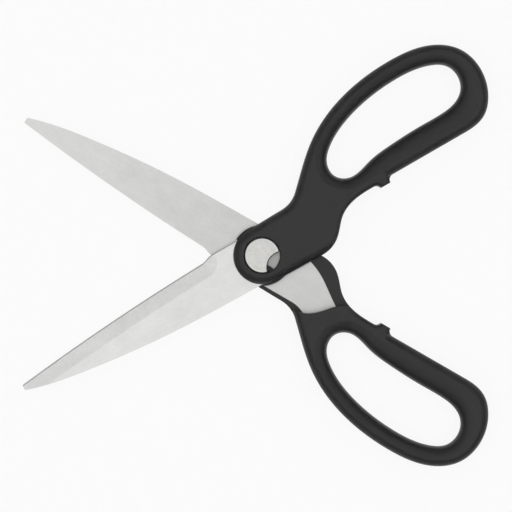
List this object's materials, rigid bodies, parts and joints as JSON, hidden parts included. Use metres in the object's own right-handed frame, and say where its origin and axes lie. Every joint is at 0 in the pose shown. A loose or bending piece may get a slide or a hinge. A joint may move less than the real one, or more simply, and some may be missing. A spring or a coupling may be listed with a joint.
{
  "type": "kitchen shears",
  "caption": "Take-apart kitchen shears lying open: long steel blades, black moulded handles with finger loops, and a pivot stud with a round bite.",
  "frame": {"origin": "on the pivot's axis, in the plane of the flat backs of the hub and loops that the shears lie on", "axes": "+X from the pivot between the open handles, so the blades point to -X; +Y towards the front half's finger loop; +Z along the pivot's axis, out of the side with the stud's head"},
  "size_m": [0.1831, 0.1658, 0.011],
  "materials": {
    "blade_steel": "fine satin, ground lengthways",
    "stud_steel": "satin",
    "handle_plastic": "smooth semi-matt moulding"
  },
  "bodies": {
    "rear_half": {"rear_blade": "blade_steel", "rear_handle": "handle_plastic", "pivot_stud": "stud_steel"},
    "front_half": {"front_blade": "blade_steel", "front_handle": "handle_plastic"}
  },
  "joints": [
    {"name": "pivot", "type": "hinge", "parent": "rear_half", "child": "front_half", "pos_m": [0, 0, 0], "axis": [0, 0, 1], "range_deg": [-59, 60]}
  ]
}
